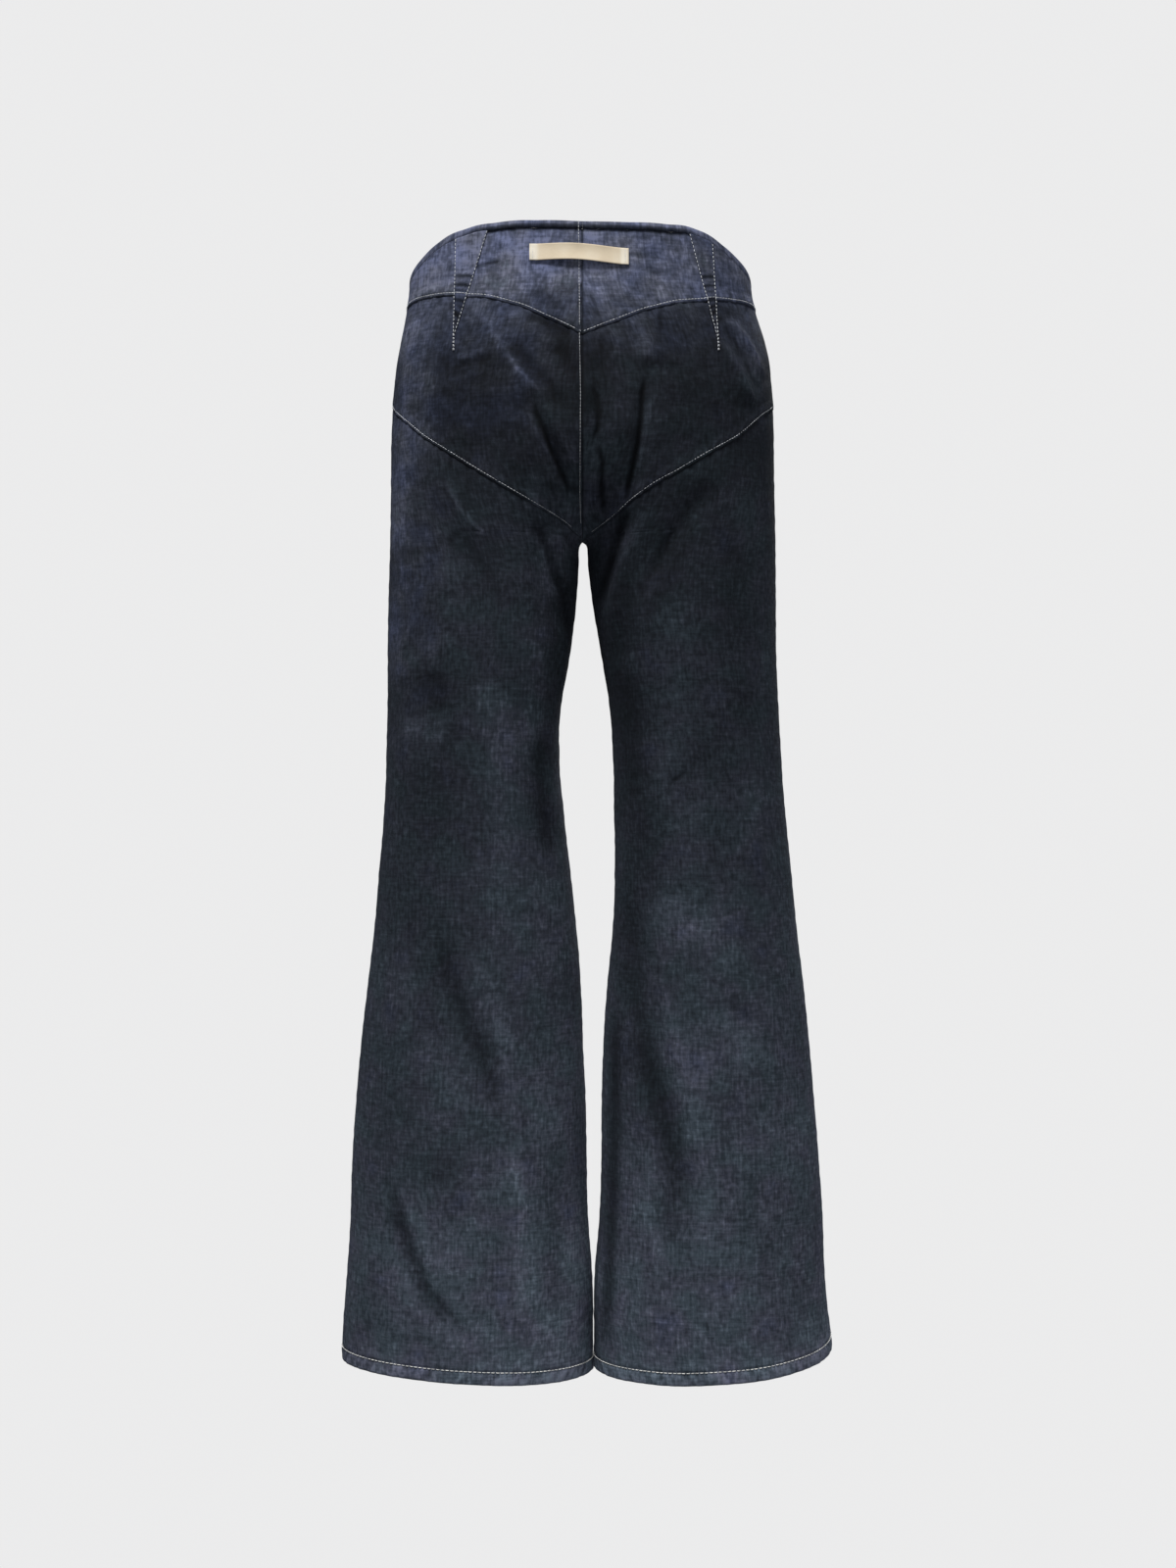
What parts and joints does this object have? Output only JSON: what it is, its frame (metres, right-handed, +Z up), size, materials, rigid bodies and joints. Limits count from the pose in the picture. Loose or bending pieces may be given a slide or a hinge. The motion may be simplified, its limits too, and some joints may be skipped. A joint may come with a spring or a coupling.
{
  "type": "flared jeans",
  "caption": "High flared jeans, filled out as worn, with a turned waist edge, a pointed back yoke, long back darts and stitched hems.",
  "frame": {"origin": "middle of the waist opening, level with the top of the side seams", "axes": "+Z up, towards the waist; -Y out of the back of the jeans; -X towards the wearer's left"},
  "size_m": [0.4616, 0.2295, 1.0657],
  "materials": {
    "denim": "raw dark indigo twill",
    "label_tape": "plain woven tape, unprinted",
    "button_metal": "aged, satin"
  },
  "bodies": {
    "root": {"back_yoke_left": "denim", "back_seat_left": "denim", "back_leg_left": "denim", "back_flare_left": "denim", "front_left": "denim", "front_flare_left": "denim", "waist_edge_left": "denim", "hem_turn_left": "denim", "dart_left": "denim", "back_yoke_right": "denim", "back_seat_right": "denim", "back_leg_right": "denim", "back_flare_right": "denim", "front_right": "denim", "front_flare_right": "denim", "waist_edge_right": "denim", "hem_turn_right": "denim", "dart_right": "denim", "fly_front": "denim", "label": "label_tape", "fly_button": "button_metal"}
  },
  "joints": []
}
